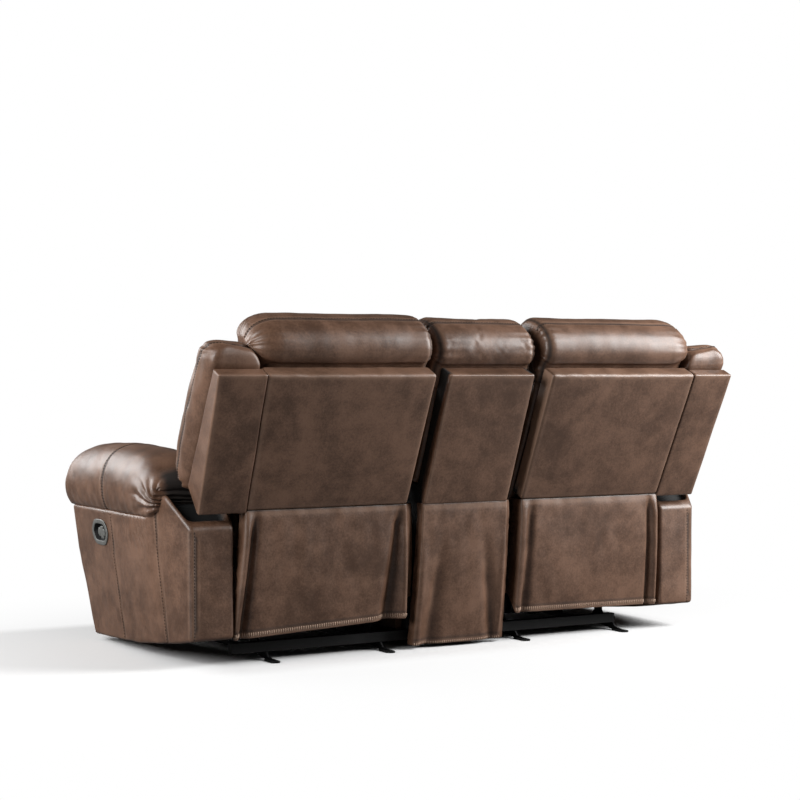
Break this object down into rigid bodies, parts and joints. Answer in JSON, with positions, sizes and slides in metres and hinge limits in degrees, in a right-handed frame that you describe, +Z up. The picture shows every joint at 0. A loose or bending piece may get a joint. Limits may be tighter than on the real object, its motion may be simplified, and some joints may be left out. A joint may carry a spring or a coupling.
{
  "type": "gliding reclining loveseat",
  "caption": "Loveseat of gliding recliners around a fixed centre console: pillow arms, leaning winged backs, hanging rear skirts, folding footrests and a lidded bin with cup wells.",
  "frame": {"origin": "on the floor, below the middle of the bounding box", "axes": "+X to the sitter's left, along the loveseat; -Y to the front, the way the sitter faces; +Z up"},
  "size_m": [2, 1.06, 1.0412],
  "materials": {
    "leather": "waxy, mottled brown",
    "black_steel": "satin black",
    "timber": "raw",
    "webbing": "matte",
    "grey_plastic": "satin",
    "cable": "matte",
    "cup_steel": "brushed"
  },
  "bodies": {
    "base": {"base_rail_left_outer": "black_steel", "base_rail_left_inner": "black_steel", "base_rail_right_inner": "black_steel", "base_rail_right_outer": "black_steel", "cross_bar_front": "black_steel", "cross_bar_rear": "black_steel", "console_box": "leather", "cup_holder_insert": "cup_steel", "console_lid_hinge": "black_steel", "console_back_frame": "leather", "console_back_cushion": "leather", "console_head_pillow": "leather", "console_rear_flap": "leather"},
    "console_lid": {"console_lid": "leather"},
    "left_rear_links": {"left_swing_yoke_rear": "black_steel"},
    "left_front_links": {"left_swing_yoke_front": "black_steel"},
    "left_carriage": {"left_side_plate_inner": "black_steel", "left_side_plate_outer": "black_steel", "left_seat_frame": "timber", "left_seat_deck": "webbing", "left_seat_cushion": "leather", "left_arm_box": "leather", "left_arm_pad": "leather", "left_handle_bezel": "grey_plastic", "left_release_cable": "cable", "left_back_pivot_tube": "black_steel", "left_rear_flap": "leather"},
    "left_back": {"left_back_frame": "leather", "left_head_pillow": "leather", "left_back_cushion": "leather", "left_wing_panel": "leather", "left_wing_pad": "leather"},
    "left_handle": {"left_handle_lever": "grey_plastic"},
    "left_footrest_drive": {"left_footrest_drive": "black_steel"},
    "left_footrest_carrier": {"left_footrest_carrier": "black_steel"},
    "left_footrest": {"left_footrest_board": "timber", "left_footrest_pad": "leather"},
    "right_rear_links": {"right_swing_yoke_rear": "black_steel"},
    "right_front_links": {"right_swing_yoke_front": "black_steel"},
    "right_carriage": {"right_side_plate_inner": "black_steel", "right_side_plate_outer": "black_steel", "right_seat_frame": "timber", "right_seat_deck": "webbing", "right_seat_cushion": "leather", "right_arm_box": "leather", "right_arm_pad": "leather", "right_handle_bezel": "grey_plastic", "right_release_cable": "cable", "right_back_pivot_tube": "black_steel", "right_rear_flap": "leather"},
    "right_back": {"right_back_frame": "leather", "right_head_pillow": "leather", "right_back_cushion": "leather", "right_wing_panel": "leather", "right_wing_pad": "leather"},
    "right_handle": {"right_handle_lever": "grey_plastic"},
    "right_footrest_drive": {"right_footrest_drive": "black_steel"},
    "right_footrest_carrier": {"right_footrest_carrier": "black_steel"},
    "right_footrest": {"right_footrest_board": "timber", "right_footrest_pad": "leather"}
  },
  "joints": [
    {"name": "console_lid_hinge", "type": "hinge", "parent": "base", "child": "console_lid", "pos_m": [0, 0.146, 0.572], "axis": [-1, 0, 0], "range_deg": [0, 80]},
    {"name": "left_glide", "type": "hinge", "parent": "base", "child": "left_rear_links", "pos_m": [0.449, 0.17, 0.215], "axis": [1, 0, 0], "range_deg": [-25, 25]},
    {"name": "left_front_swing", "type": "hinge", "parent": "base", "child": "left_front_links", "pos_m": [0.449, -0.08, 0.215], "axis": [1, 0, 0], "range_deg": [-25, 25]},
    {"name": "left_carriage_level", "type": "hinge", "parent": "left_rear_links", "child": "left_carriage", "pos_m": [0.449, 0.17, 0.095], "axis": [1, 0, 0], "range_deg": [-25, 25]},
    {"name": "left_recline", "type": "hinge", "parent": "left_carriage", "child": "left_back", "pos_m": [0.449, 0.28881, 0.42351], "axis": [-1, 0, 0], "range_deg": [0, 35], "deforming": ["left_rear_flap"]},
    {"name": "left_handle_pull", "type": "hinge", "parent": "left_carriage", "child": "left_handle", "pos_m": [0.97244, -0.228, 0.3627], "axis": [0.1002, 0, 0.995], "range_deg": [0, 35], "stiffness_Nm_per_rad": 0.4},
    {"name": "left_footrest_open", "type": "hinge", "parent": "left_carriage", "child": "left_footrest_drive", "pos_m": [0.449, -0.33, 0.24], "axis": [-1, 0, 0], "range_deg": [0, 165]},
    {"name": "left_footrest_knee", "type": "hinge", "parent": "left_footrest_drive", "child": "left_footrest_carrier", "pos_m": [0.449, -0.18255, 0.13676], "axis": [-1, 0, 0], "range_deg": [-174, 0]},
    {"name": "left_footrest_tilt", "type": "hinge", "parent": "left_footrest_carrier", "child": "left_footrest", "pos_m": [0.449, -0.405, 0.245], "axis": [-1, 0, 0], "range_deg": [0, 99]},
    {"name": "right_glide", "type": "hinge", "parent": "base", "child": "right_rear_links", "pos_m": [-0.449, 0.17, 0.215], "axis": [1, 0, 0], "range_deg": [-25, 25]},
    {"name": "right_front_swing", "type": "hinge", "parent": "base", "child": "right_front_links", "pos_m": [-0.449, -0.08, 0.215], "axis": [1, 0, 0], "range_deg": [-25, 25]},
    {"name": "right_carriage_level", "type": "hinge", "parent": "right_rear_links", "child": "right_carriage", "pos_m": [-0.449, 0.17, 0.095], "axis": [1, 0, 0], "range_deg": [-25, 25]},
    {"name": "right_recline", "type": "hinge", "parent": "right_carriage", "child": "right_back", "pos_m": [-0.449, 0.28881, 0.42351], "axis": [-1, 0, 0], "range_deg": [0, 35], "deforming": ["right_rear_flap"]},
    {"name": "right_handle_pull", "type": "hinge", "parent": "right_carriage", "child": "right_handle", "pos_m": [-0.97244, -0.228, 0.3627], "axis": [0.1002, 0, -0.995], "range_deg": [0, 35], "stiffness_Nm_per_rad": 0.4},
    {"name": "right_footrest_open", "type": "hinge", "parent": "right_carriage", "child": "right_footrest_drive", "pos_m": [-0.449, -0.33, 0.24], "axis": [-1, 0, 0], "range_deg": [0, 165]},
    {"name": "right_footrest_knee", "type": "hinge", "parent": "right_footrest_drive", "child": "right_footrest_carrier", "pos_m": [-0.449, -0.18255, 0.13676], "axis": [-1, 0, 0], "range_deg": [-174, 0]},
    {"name": "right_footrest_tilt", "type": "hinge", "parent": "right_footrest_carrier", "child": "right_footrest", "pos_m": [-0.449, -0.405, 0.245], "axis": [-1, 0, 0], "range_deg": [0, 99]}
  ],
  "couplings": [
    {"joint": "left_front_swing", "follows": "left_glide", "ratio": 1},
    {"joint": "left_carriage_level", "follows": "left_glide", "ratio": -1},
    {"joint": "left_footrest_knee", "follows": "left_footrest_open", "ratio": -1.0482},
    {"joint": "left_footrest_tilt", "follows": "left_footrest_open", "ratio": 0.5936},
    {"joint": "right_front_swing", "follows": "right_glide", "ratio": 1},
    {"joint": "right_carriage_level", "follows": "right_glide", "ratio": -1},
    {"joint": "right_footrest_knee", "follows": "right_footrest_open", "ratio": -1.0482},
    {"joint": "right_footrest_tilt", "follows": "right_footrest_open", "ratio": 0.5936}
  ]
}
